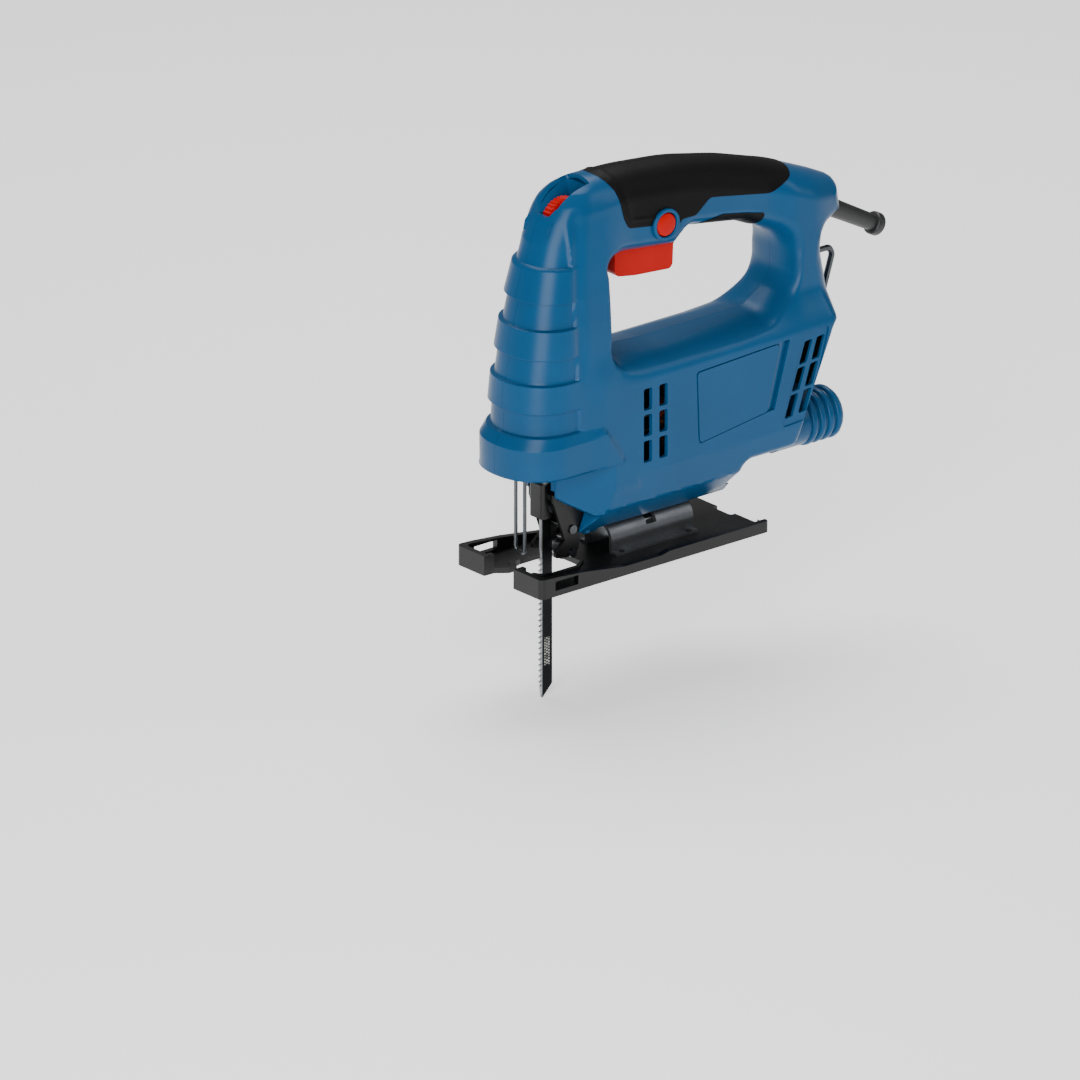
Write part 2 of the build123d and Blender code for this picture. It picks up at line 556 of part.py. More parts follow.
def build_base():
    plate = slab_z(base_outline(0) - toe_gap(0), 0, BASE_T)
    # the rolled rail runs round the outside: high at the toes, low behind
    side = outline([(BASE_X0 - 1, 0), (BASE_X1 + 1, 0), (BASE_X1 + 1, 6), (54, 6), (48, 4.8),
                    (24, 5.0), (-2, 8.6), (-20, 10.2), (-27, 10.5), (BASE_X0 - 1, 10.5)])
    rail = slab_z(base_outline(0) - base_outline(RAIL_T) - toe_gap(0), 0, 11)
    rail -= block(BASE_X1 - RAIL_T, BASE_X1 + 1, -BASE_HALF + RAIL_T, BASE_HALF - RAIL_T, BASE_T, 20)
    plate += rail & slab_y(side, -40, 40)
    # a lip stiffens the edge of the toe gap
    lip = slab_z((toe_gap(2.4) - toe_gap(0)) & base_outline(0), 0, 3.0)
    plate += lip
    toe_wall = slab_z(outline([(BASE_X0, 11.6), (-24, 11.2), (-24, 14), (BASE_X0, 14)]), 0, 10.5)
    plate += toe_wall & slab_z(base_outline(0), 0, 20)
    plate += mirror(toe_wall, about=Plane.XZ) & slab_z(base_outline(0), 0, 20)
    plate -= slab_z(toe_gap(0), -1, 20)
    # slot through both rails for a parallel guide
    plate -= block(-21.2, -6.2, -50, 50, 3.1, 8.0)
    # access window under the clamp screw, and a notch in the rear edge
    plate -= slab_z(Pos(CLAMP_SCREW_X, 0) * RectangleRounded(24, 15, 4), -1, 5)
    plate -= slab_z(Pos(BASE_X1, 0) * RectangleRounded(6, 14, 1.5), -1, 5)
    node("base_plate", *largest(plate, 1))

    arch = Circle(ARCH_R) - Circle(ARCH_R - ARCH_T)
    arch = arch & (Pos(0, ARCH_R) * Rectangle(3 * ARCH_R, 2 * ARCH_R))
    for side in (-1, 1):
        y = side * (ARCH_R - ARCH_T / 2)
        arch += Pos(y, (BASE_T - TILT_Z) / 2) * Rectangle(ARCH_T, TILT_Z - BASE_T)
        arch += Pos(side * 11.9, BASE_T - TILT_Z + 0.6) * Rectangle(4.6, 1.2)
    saddle = slab_x(Pos(0, TILT_Z) * arch, ARCH_X0, ARCH_X1)
    swing = Polygon((0, 0), (30, 12.5), (30, 40), (-30, 40), (-30, 12.5), align=None)
    saddle -= slab_x(Pos(0, TILT_Z) * swing, CLAMP_SCREW_X - 3.3, CLAMP_SCREW_X + 3.3)
    node("tilt_saddle", saddle)
    saddle -= block(78.1, 81.5, -12, 12, 15.8, 30)
    for x in (ARCH_X0 + 5, ARCH_X1 - 5):
        for y in (-12.6, 12.6):
            saddle_hole = rod_z(0.9, -1, 5, x, y)
            NODES["base_plate"] = [NODES["base_plate"][0] - saddle_hole]
            NODES["tilt_saddle"] = [NODES["tilt_saddle"][0] - saddle_hole]
            node("saddle_rivets", rod_z(0.9, 0.2, 3.3, x, y) + rod_z(1.4, 3.2, 3.6, x, y))

    cap = Circle(ARCH_R - ARCH_T - CLEAR) - Circle(6.1)
    cap = cap & Polygon((0, 0), (-20, 18), (20, 18), align=None)
    cap_plate = slab_x(Pos(0, TILT_Z) * cap, CLAMP_SCREW_X - 12, CLAMP_SCREW_X + 12)
    cap_plate -= rod_z(4.3, 0, 13.7, CLAMP_SCREW_X, 0) + rod_z(2.5, 0, 40, CLAMP_SCREW_X, 0)
    node("clamp_plate", cap_plate)
    base_screw = rod_z(2.5, 13.6, 27, CLAMP_SCREW_X, 0) + rod_z(3.8, 9.6, 13.6, CLAMP_SCREW_X, 0)
    base_screw -= slab_z(Pos(CLAMP_SCREW_X, 0) * RegularPolygon(2.0, 6), 9, 12)
    node("base_screw", base_screw)
    for name in ("housing_left", "housing_right"):
        NODES[name] = [NODES[name][0] - rod_z(2.5, 10, 27.2, CLAMP_SCREW_X, 0)]


# ---------------------------------------------------------- rear accessories
def build_rear():
    port = ring_x(PORT_R - 1.1, PORT_BORE, PORT_X0, PORT_X1, 0, PORT_Z)
    for i in range(4):
        x = PORT_X0 + 20.5 + 5.4 * i
        port += ring_x(PORT_R, PORT_BORE, x, x + 3.4, 0, PORT_Z)
    node("dust_port", port)
    key = FilletPolyline((163, 0, KEY_Z), (190.5, 0, KEY_Z), (174.5, 0, 78), radius=4)
    profile = Plane(origin=key @ 0, z_dir=key % 0) * RegularPolygon(1.5, 6, major_radius=False)
    node("hex_key", sweep(profile, path=key, transition=Transition.ROUND))
    clip = slab_y(outline([(166.15, 83), (167.95, 88), (181, 88), (181, 83)]), -3.4, 3.4)
    clip -= block(173.5, 195, -1.8, 1.8, 82, 89)
    node("key_clip", clip)


build_housing()
build_controls()
build_drive()
build_blade()
build_guide()
build_base()
build_rear()

os.makedirs("parts", exist_ok=True)
for name, solids in NODES.items():
    export_step(Compound(children=[s for s in solids]) if len(solids) > 1 else solids[0],
                f"parts/{name}.step")
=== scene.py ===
import math
import bmesh
import bpy
import numpy as np
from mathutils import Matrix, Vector


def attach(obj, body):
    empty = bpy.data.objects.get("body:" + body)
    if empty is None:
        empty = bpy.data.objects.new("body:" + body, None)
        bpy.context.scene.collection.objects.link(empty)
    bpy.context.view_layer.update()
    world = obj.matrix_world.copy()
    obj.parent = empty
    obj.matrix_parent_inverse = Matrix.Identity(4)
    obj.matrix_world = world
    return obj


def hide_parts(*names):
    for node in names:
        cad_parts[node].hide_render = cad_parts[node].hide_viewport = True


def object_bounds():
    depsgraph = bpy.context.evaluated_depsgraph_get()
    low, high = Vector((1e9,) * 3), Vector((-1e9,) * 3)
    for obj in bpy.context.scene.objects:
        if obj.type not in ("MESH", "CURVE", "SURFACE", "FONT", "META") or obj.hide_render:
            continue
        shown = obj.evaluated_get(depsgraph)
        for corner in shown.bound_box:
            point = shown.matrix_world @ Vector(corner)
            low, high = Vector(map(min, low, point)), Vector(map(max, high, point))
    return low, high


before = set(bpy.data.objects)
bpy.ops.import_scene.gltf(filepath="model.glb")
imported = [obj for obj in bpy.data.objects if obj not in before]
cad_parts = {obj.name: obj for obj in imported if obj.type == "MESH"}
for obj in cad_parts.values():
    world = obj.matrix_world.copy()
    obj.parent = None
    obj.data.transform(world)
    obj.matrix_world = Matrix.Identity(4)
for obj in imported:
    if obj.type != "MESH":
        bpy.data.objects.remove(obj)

# Jigsaw. Shapes are worked out in millimetres in the frame's axes (front of the
# tool at -X, its left side at -Y, +Z up) and put into the meshes in metres.
MM = 0.001
cad_box = [list(corner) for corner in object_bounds()]


# ------------------------------------------------------------------ small maths
def ease(low, high, x):
    """Smooth step from 0 at low to 1 at high."""
    t = np.clip((x - low) / (high - low), 0, 1)
    return t * t * (3 - 2 * t)


def quarter(t, power=2.0):
    """A quarter of a superellipse: 0 at t = 0, rising steeply to 1 at t = 1."""
    return (1 - (1 - np.clip(t, 0, 1)) ** power) ** (1 / power)


def rounded(points, closed=False, step=0.8):
    """Straight runs joined by arcs; a point's third value is its corner radius."""
    xy = np.array([p[:2] for p in points], float)
    radii = [p[2] if len(p) > 2 else 0 for p in points]
    n = len(xy)
    out = []
    for i in range(n):
        if radii[i] == 0 or (not closed and i in (0, n - 1)):
            out.append(xy[i][None])
            continue
        a, b, c = xy[i - 1], xy[i], xy[(i + 1) % n]
        u, v = (a - b) / np.linalg.norm(a - b), (c - b) / np.linalg.norm(c - b)
        half = math.acos(np.clip(u @ v, -1, 1)) / 2
        cut = min(radii[i] / math.tan(half), 0.48 * np.linalg.norm(a - b),
                  0.48 * np.linalg.norm(c - b))
        radius = cut * math.tan(half)
        centre = b + (u + v) / np.linalg.norm(u + v) * radius / math.sin(half)
        start, end = b + u * cut - centre, b + v * cut - centre
        turn = math.atan2(start[0] * end[1] - start[1] * end[0], start @ end)
        count = max(3, int(abs(turn) * radius / step) + 2)
        ang = math.atan2(start[1], start[0]) + turn * np.linspace(0, 1, count)
        out.append(centre + radius * np.stack([np.cos(ang), np.sin(ang)], 1))
    line = np.concatenate(out)
    return np.concatenate([line, line[:1]]) if closed else line


def lengths(line):
    """Running length at each point of a polyline: the sum of the straight steps before it."""
    return np.concatenate([[0], np.cumsum(np.linalg.norm(np.diff(line, axis=0), axis=1))])


def along(line, s):
    """Points at running lengths s of a polyline, straight between its own points."""
    run = lengths(line)
    return np.stack([np.interp(s, run, line[:, k]) for k in range(line.shape[1])], -1)


def nearest(line, points):
    """Distance from each point to a polyline, and how far along it the nearest place is."""
    a, b = line[:-1], line[1:]
    d = b - a
    size = np.maximum((d * d).sum(1), 1e-12)
    run = lengths(line)[:-1]
    far = np.full(len(points), 1e9)
    place = np.zeros(len(points))
    for k in range(len(a)):
        w = points - a[k]
        t = np.clip((w @ d[k]) / size[k], 0, 1)
        gap = np.hypot(*(w - t[:, None] * d[k]).T)
        closer = gap < far
        far = np.where(closer, gap, far)
        place = np.where(closer, run[k] + t * math.sqrt(size[k]), place)
    return far, place


# ------------------------------------------------------------------ mesh making
def mesh_object(name, verts, faces, smooth_angle=35):
    """A mesh at the origin from points in millimetres."""
    mesh = bpy.data.meshes.new(name)
    mesh.from_pydata((np.asarray(verts, float) * MM).tolist(), [], faces)
    mesh.validate()
    mesh.update()
    obj = bpy.data.objects.new(name, mesh)
    bpy.context.scene.collection.objects.link(obj)
    shade(obj, smooth_angle)
    return obj


def shade(obj, angle=35):
    """Smooth faces, with an edge kept sharp where its faces meet at more than angle degrees."""
    obj.data.polygons.foreach_set("use_smooth", np.ones(len(obj.data.polygons), bool))
    obj.data.set_sharp_from_angle(angle=math.radians(angle))


def grid_faces(rows, cols, start=0, wrap=False):
    """Quads of a grid whose point (i, j) has number start + i * cols + j; wrap joins the last
    column to the first."""
    i, j = np.meshgrid(np.arange(rows - 1), np.arange(cols - (0 if wrap else 1)), indexing="ij")
    a = start + i * cols + j
    b = start + i * cols + (j + 1) % cols
    return np.stack([a, b, b + cols, a + cols], -1).reshape(-1, 4).tolist()


def merged(obj, distance=0.002):
    """Weld points closer than distance (mm) and turn every face outwards."""
    work = bmesh.new()
    work.from_mesh(obj.data)
    bmesh.ops.remove_doubles(work, verts=work.verts, dist=distance * MM)
    bmesh.ops.recalc_face_normals(work, faces=work.faces)
    work.to_mesh(obj.data)
    work.free()
    return obj


def applied(obj):
    """The object with its modifiers worked into the mesh."""
    graph = bpy.context.evaluated_depsgraph_get()
    mesh = bpy.data.meshes.new_from_object(obj.evaluated_get(graph))
    obj.modifiers.clear()
    old = obj.data
    obj.data = mesh
    bpy.data.meshes.remove(old)
    return obj


def prism(name, outline, low, high, axis=1):
    """A flat outline carried from low to high along one axis (0 X, 1 Y, 2 Z) and closed with
    two flat ends; the outline's columns are the other two axes in order."""
    n = len(outline)
    near = np.insert(outline, axis, low, axis=1)
    far = np.insert(outline, axis, high, axis=1)
    faces = [[i, (i + 1) % n, n + (i + 1) % n, n + i] for i in range(n)]
    faces += [list(range(n))[::-1], list(range(n, 2 * n))]
    return merged(mesh_object(name, np.concatenate([near, far]), faces))


def turned(name, profile, start, axis, count=48, ribs=0, rib_depth=0.0, rib_from=1e9):
    """A (distance along axis, radius) profile turned about an axis from start. The profile's
    ends lie on the axis or meet each other. Ribs ripple the radius beyond rib_from by a cosine."""
    axis = np.array(axis, float) / np.linalg.norm(axis)
    side = np.cross(axis, [0.0, 1.0, 0.0] if abs(axis[1]) < 0.9 else [0.0, 0.0, 1.0])
    side /= np.linalg.norm(side)
    ang = 2 * np.pi * np.arange(count) / count
    ring = np.cos(ang)[:, None] * side + np.sin(ang)[:, None] * np.cross(axis, side)
    step, radius = np.array(profile, float).T
    radius = radius[:, None] - rib_depth * (0.5 - 0.5 * np.cos(ribs * ang)) * (radius > rib_from)[:, None]
    verts = np.array(start) + step[:, None, None] * axis + radius[..., None] * ring[None]
    return merged(mesh_object(name, verts.reshape(-1, 3), grid_faces(len(step), count, wrap=True)))


def cut(obj, cutters, operation="DIFFERENCE"):
    """Take closed shapes away, join them on or keep what lies inside them; they are then
    thrown away."""
    for cutter in cutters:
        mod = obj.modifiers.new("cut", "BOOLEAN")
        mod.operation = operation
        mod.solver = "MANIFOLD"
        mod.object = cutter
        applied(obj)
    for cutter in cutters:
        bpy.data.meshes.remove(cutter.data)
    return obj


# ------------------------------------------------------------- housing surface
VISOR_Z, COLUMN_X = 58.7, 27.8
# window rim from the front column's rear face round to its foot
WINDOW = rounded([(COLUMN_X, 156), (COLUMN_X, 162, 6), (39, 162, 4), (75, 158, 3), (84, 165.6, 6),
                  (119, 160, 16), (148, 147, 14), (148, 122, 14), (130, 110.2, 14), (61, 110.2, 60),
                  (COLUMN_X, 112, 13), (COLUMN_X, 125)])
# outer rim from the handle's top round the rear to the foot
RIM = rounded([(COLUMN_X, 206.2), (48, 205.6, 120), (81, 202.3, 150), (114, 195.1, 150),
               (147, 184.8, 120), (173, 173.9, 60), (186.5, 167.4, 7), (188.6, 149.8, 6),
               (171.5, 144.6, 5), (171.8, 138, 8), (175.6, 121, 30), (177.6, 99.5, 4), (172.4, 93.5, 3),
               (156, 56, 50), (148, 33.5, 9),
               (113.5, 33.5, 4), (110.5, 16, 2), (COLUMN_X, 16)])
RIM_RADIUS = [(0, 15), (188, 15), (218, 14), (233, 10), (250, 8), (265, 8), (275, 12), (295, 13),
              (310, 9), (320, 7), (350, 7), (440, 7), (448, 3), (466, 1), (600, 1)]
PAIRS = [((48, 205.6), (39, 162)), ((84, 202), (80, 162)), ((128, 191), (119, 160)),
         ((165, 177.5), (139, 152)), ((186, 166), (147, 145)), ((188.4, 151), (147.6, 142.4)),
         ((172, 143), (148, 139.5)), ((175.6, 121), (148, 132)), ((177, 100), (147.6, 124)),
         ((165, 77), (142, 117)), ((149, 38), (132, 110.2)), ((128, 33.5), (124, 110.2)),
         ((112, 24), (112, 110.2)), ((70, 16), (70, 110.2))]
FRONT = [(58.7, -33), (75, -33), (80.6, -29.3), (93.3, -28.6), (107.5, -27.2), (121, -25.0),
         (135.5, -22.4), (149.5, -19.4), (166, -15.0), (178, -10.8), (188, -5.4), (196, 0.5),
         (201, 6.0), (204, 12.0), (206.2, 22.0)]
NOSE_LENGTH = [(58.7, 26), (166, 23), (188, 20), (203, 14), (206.2, 5)]
NOSE_HALF = [(58.7, 27.8), (75, 27.8), (80.6, 26.4), (93.3, 26.0), (107.5, 25.4), (121, 24.8),
             (135.5, 24.0), (149.5, 22.8), (166, 21.0), (178, 19.6), (188, 18.4), (206.2, 17)]
BANDS = [(80.6, 93.3), (107.5, 121), (135.5, 149.5), (166, 240)]
RIB_DEPTH = 1.8
RIM_DENSE = np.concatenate([[[-40, 206.2]], RIM])


def table(pairs, x):
    """A value read from (place, value) pairs, straight between them and flat past the ends."""
    pairs = np.array(pairs, float)
    return np.interp(x, pairs[:, 0], pairs[:, 1])


def rib_recess(z):
    """Depth of the recessed bands of the front grip at a height."""
    depth = np.zeros_like(z)
    for low, high in BANDS:
        depth = np.maximum(depth, ease(low - 0.1, low + 0.7, z) * (1 - ease(high - 0.7, high + 0.1, z)))
    return RIB_DEPTH * depth * (1 - ease(168, 196, z))


def front_x(z):
    """The housing's foremost X at a height: chin below the visor, nose above it."""
    chin = table([(16, 12), (18, 12), (29, 17), (41, -3), (58.69, -3)], z)
    return np.where(z < VISOR_Z, chin, table(FRONT, z) + rib_recess(z))


def belt_mask(x, z):
    """1 on the raised belt round the visor's side, 0 on the side wall behind its slanted edge."""
    slant = ((x - 17.6) * 31.0 + (z - 78.8) * 20.6) / 37.2
    return (1 - ease(-1.6, 0.0, slant)) * (1 - ease(75.5 + 0.05 * x, 79.5 + 0.05 * x, z))


def half_width(x, z):
    """Half width of the housing over the side view: body, columns and handle widths blended,
    then rounded off towards the rim, the window and the nose with quarter superellipses."""
    shape = x.shape
    x, z = x.ravel(), z.ravel()
    body = table([(15.9, 7.3), (33, 25), (49, 27), (100, 27)], z)
    body = body + 1.5 * belt_mask(x, z) * ease(40, 47, z)
    side = table(NOSE_HALF, z)
    column = side + (16.4 - side) * ease(22, 48, x)
    column = column + 3.4 * ease(132, 152, x)
    column = column - 7 * ease(160, 190, x) * ease(140, 150, z)
    upper = ease(98, 120, z)
    front = 1 - ease(4, 20, x)
    wide = body * (1 - upper) + column * upper
    wide = wide * (1 - front * (z > VISOR_Z)) + side * front * (z > VISOR_Z)
    wide = wide - rib_recess(z) * (1 - ease(0.2, 1.8, x)) * (z > VISOR_Z)
    valley = 3.0 + 0.10 * np.clip(z - 150, 0, 60)
    wide = wide - 1.3 * np.exp(-((x - valley) / 3.0) ** 2) * ease(100, 125, z) * (1 - ease(186, 199, z))
    points = np.stack([x, z], 1)
    gap, place = nearest(RIM_DENSE, points)
    radius = table(RIM_RADIUS, place)
    wide = wide * quarter(gap / radius)
    gap, place = nearest(np.concatenate([WINDOW, WINDOW[:1]]), points)
    total = lengths(WINDOW)[-1]
    radius = table([(0, 5), (12, 9), (60, 9), (120, 10), (140, 6), (170, 6), (195, 9),
                    (total - 30, 9), (total, 5)], place)
    wide = wide * quarter(gap / radius)
    chin = table([(-3, 12), (17, 23), (24, 27), (300, 27)], x)
    low = z < VISOR_Z
    wide = np.where(low, np.minimum(wide, chin), wide)
    length = table(NOSE_LENGTH, z)
    front = front_x(z)
    nose = np.clip((front + length - x) / length, 0, 1)
    wide = np.where(low, wide * quarter((x - front) / 1.5), wide * (1 - nose ** 2.2) ** (1 / 2.2))
    return wide.reshape(shape)


def spaced(low, high, count, marks=()):
    """Heights from low to high, closer together near the marks."""
    dense = np.linspace(low, high, 4000)
    weight = np.full_like(dense, 0.5)
    for mark in marks:
        weight += 5 * np.exp(-((dense - mark) / 1.0) ** 2)
    run = np.cumsum(weight)
    return np.interp(np.linspace(run[0], run[-1], count), run, dense)


def shell_sheet(name, grow=None):
    """Left half of the housing's outer skin: one grid over the nose and front column, one
    that runs round the handle, rear and body, both lifted to Y = -half_width, then moved
    along their normals by grow(x, z)."""
    count, mid_count, cols, turns = 92, 40, 66, 250
    edges = [e for band in BANDS for e in band if e < 200] + [VISOR_Z, 75, 78]
    low = spaced(16, 125, count, edges)
    k = np.argmin(abs(low - VISOR_Z))
    low[k], low[k + 1] = VISOR_Z - 0.02, VISOR_Z
    top = 206.2 - (206.2 - 156) * np.linspace(0, 1, count)[::-1] ** 1.6
    mid = spaced(125, 156, mid_count, edges)
    rows = np.concatenate([low, mid[1:-1], top])
    t = (1 - np.cos(np.pi * np.linspace(0, 1, cols) * 0.62)) / (1 - np.cos(np.pi * 0.62))
    ahead = front_x(rows)[:, None]
    reach = t[None] ** 1.15
    # columns bunch up towards the window's edge as well
    reach = reach + 0.10 * np.sin(np.pi * reach) ** 2 * reach
    x = ahead + (COLUMN_X - ahead) * reach
    z = np.repeat(rows[:, None], cols, 1)
    knots_rim = [0] + [nearest(RIM, np.array([p[0]], float))[1][0] for p in PAIRS]
    knots_win = [0] + [nearest(WINDOW, np.array([p[1]], float))[1][0] for p in PAIRS]
    knots_rim.append(lengths(RIM)[-1])
    knots_win.append(lengths(WINDOW)[-1])
    u = np.linspace(0, 1, turns)
    knots = (np.array(knots_rim) / knots_rim[-1] + np.array(knots_win) / knots_win[-1]) / 2
    outer = along(RIM, np.interp(u, knots, knots_rim))
    inner = along(WINDOW, np.interp(u, knots, knots_win))
    at_top = (206.2 - top[::-1]) / (206.2 - 156)
    at_low = (low - 16) / (125 - 16)
    mix = ease(0.5, 1.0, u)[:, None]
    even = (1 - np.cos(np.pi * np.linspace(0, 1, count))) / 2
    s = at_top[None] * (1 - ease(0, 0.12, u)[:, None]) + even[None] * ease(0, 0.12, u)[:, None]
    s = s * (1 - mix) + at_low[None] * mix
    ring = outer[:, None] + (inner - outer)[:, None] * s[..., None]
    ring_x, ring_z = ring[..., 0], ring[..., 1]
    first = np.stack([x, -np.maximum(half_width(x, z), 0.06), z], -1).reshape(-1, 3)
    second = np.stack([ring_x, -np.maximum(half_width(ring_x, ring_z), 0.06), ring_z], -1)
    second = second.reshape(-1, 3)
    faces = grid_faces(len(rows), cols)
    faces += grid_faces(turns, count, start=len(first))
    obj = merged(mesh_object(name, np.concatenate([first, second]), faces), 0.03)
    mesh = obj.data
    if sum(p.normal.y * p.area for p in mesh.polygons) > 0:
        mesh.flip_normals()
    if grow:
        place, normal = np.empty((2, len(mesh.vertices) * 3))
        mesh.vertices.foreach_get("co", place)
        mesh.vertices.foreach_get("normal", normal)
        place, normal = place.reshape(-1, 3) / MM, normal.reshape(-1, 3)
        rim = place[:, 1] > -0.2
        place = place + normal * grow(place[:, 0], place[:, 2])[:, None]
        place[rim, 1] = -0.06
        mesh.vertices.foreach_set("co", (place * MM).ravel())
    return obj


def walled(obj, thickness):
    """Give a sheet whose faces point outwards a wall on its inner side."""
    mod = obj.modifiers.new("wall", "SOLIDIFY")
    mod.thickness = thickness * MM
    mod.offset = -1
    return applied(obj)


# ------------------------------------------------------------------ materials
def linear(code):
    """An sRGB colour such as "1a62a0" as linear red, green, blue and alpha."""
    srgb = np.array([int(code[i:i + 2], 16) / 255 for i in (0, 2, 4)])
    rgb = np.where(srgb <= 0.04045, srgb / 12.92, ((srgb + 0.055) / 1.055) ** 2.4)
    return (*rgb.tolist(), 1.0)


def add(tree, kind, settings=None, inputs=None):
    """Add a node. Settings are its properties; inputs maps a socket's name or number to a
    value or to another node's output."""
    node = tree.nodes.new("ShaderNode" + kind)
    for key, value in (settings or {}).items():
        setattr(node, key, value)
    for key, value in (inputs or {}).items():
        if isinstance(value, bpy.types.NodeSocket):
            tree.links.new(value, node.inputs[key])
        else:
            node.inputs[key].default_value = value
    return node


def spread(tree, value, low, high, source=(0.3, 0.7)):
    """Map a noise value's usual range onto low to high."""
    node = add(tree, "MapRange", None, {"Value": value, "From Min": source[0], "From Max": source[1],
                                        "To Min": low, "To Max": high})
    return node.outputs["Result"]


def finish(name, colours, rough, grain, depth, blotch=14.0, stretch=(1, 1, 1), swing=0.06, extra=None,
           **sockets):
    """A material whose colour drifts between two near shades over blotches, with a finer grain
    in its roughness and bump. Grain, depth and blotch are in millimetres; stretch multiplies
    the grain's frequency along X, Y and Z; extra(tree, place, colour, rough) may add more."""
    mat = bpy.data.materials.new(name)
    mat.use_nodes = True
    tree = mat.node_tree
    shader = tree.nodes["Principled BSDF"]
    place = add(tree, "TexCoord").outputs["Object"]
    lined = add(tree, "Mapping", None, {"Vector": place, "Scale": stretch}).outputs["Vector"]
    patches = add(tree, "TexNoise", None, {"Vector": place, "Scale": 1000 / blotch, "Detail": 4.0})
    fine = add(tree, "TexNoise", None, {"Vector": lined, "Scale": 1000 / grain, "Detail": 3.0})
    colour = add(tree, "Mix", {"data_type": "RGBA"},
                 {0: spread(tree, patches.outputs[0], 0, 1), 6: linear(colours[0]),
                  7: linear(colours[1])}).outputs[2]
    both = add(tree, "Math", {"operation": "ADD"}, {0: patches.outputs[0], 1: fine.outputs[0]})
    gloss = spread(tree, both.outputs[0], rough - swing, rough + swing, (0.7, 1.3))
    if extra:
        colour, gloss = extra(tree, place, colour, gloss)
    bump = add(tree, "Bump", None, {"Height": fine.outputs[0], "Strength": 1.0,
                                    "Distance": depth * MM})
    tree.links.new(colour, shader.inputs["Base Color"])
    tree.links.new(gloss, shader.inputs["Roughness"])
    tree.links.new(bump.outputs[0], shader.inputs["Normal"])
    for key, value in sockets.items():
        shader.inputs[key.replace("_", " ")].default_value = value
    return mat


def blade_marks(tree, place, colour, gloss):
    """Ground bright tooth edge, and a short row of pale printed dashes on the body."""
    xyz = add(tree, "SeparateXYZ", None, {0: place})
    x, z = xyz.outputs[0], xyz.outputs[2]
    edge = spread(tree, x, 1, 0, (-0.0027, -0.0022))
    colour = add(tree, "Mix", {"data_type": "RGBA"},
                 {0: edge, 6: colour, 7: linear("a9acb0")}).outputs[2]
    up = add(tree, "CombineXYZ", None, {0: z, 1: x}).outputs[0]
    bricks = add(tree, "TexBrick", None, {"Vector": up, "Scale": 1000.0, "Mortar Size": 0.28,
                                          "Brick Width": 1.5, "Row Height": 1.3,
                                          "Color1": (1, 1, 1, 1), "Color2": (0.2, 0.2, 0.2, 1),
                                          "Mortar": (0, 0, 0, 1)}).outputs[0]
    low = spread(tree, z, 0, 1, (-0.0520, -0.0518))
    high = spread(tree, z, 1, 0, (-0.0372, -0.0370))
    side = spread(tree, x, 0, 1, (-0.0012, -0.0010))
    back = spread(tree, x, 1, 0, (0.0026, 0.0028))
    mask = bricks
    for part in (low, high, side, back):
        mask = add(tree, "Math", {"operation": "MULTIPLY"}, {0: mask, 1: part}).outputs[0]
    colour = add(tree, "Mix", {"data_type": "RGBA"},
                 {0: mask, 6: colour, 7: linear("c9c9c4")}).outputs[2]
    return colour, gloss


def sheets(tree, place, colour, gloss):
    """Thin dark lines across X, half a millimetre apart, between punched iron sheets."""
    wave = add(tree, "TexWave", {"wave_type": "BANDS", "bands_direction": "X"},
               {"Vector": place, "Scale": 100.0, "Distortion": 0.2}).outputs[1]
    colour = add(tree, "Mix", {"data_type": "RGBA"},
                 {0: spread(tree, wave, 0.6, 0, (0.1, 0.5)), 6: colour, 7: linear("202224")}).outputs[2]
    return colour, gloss


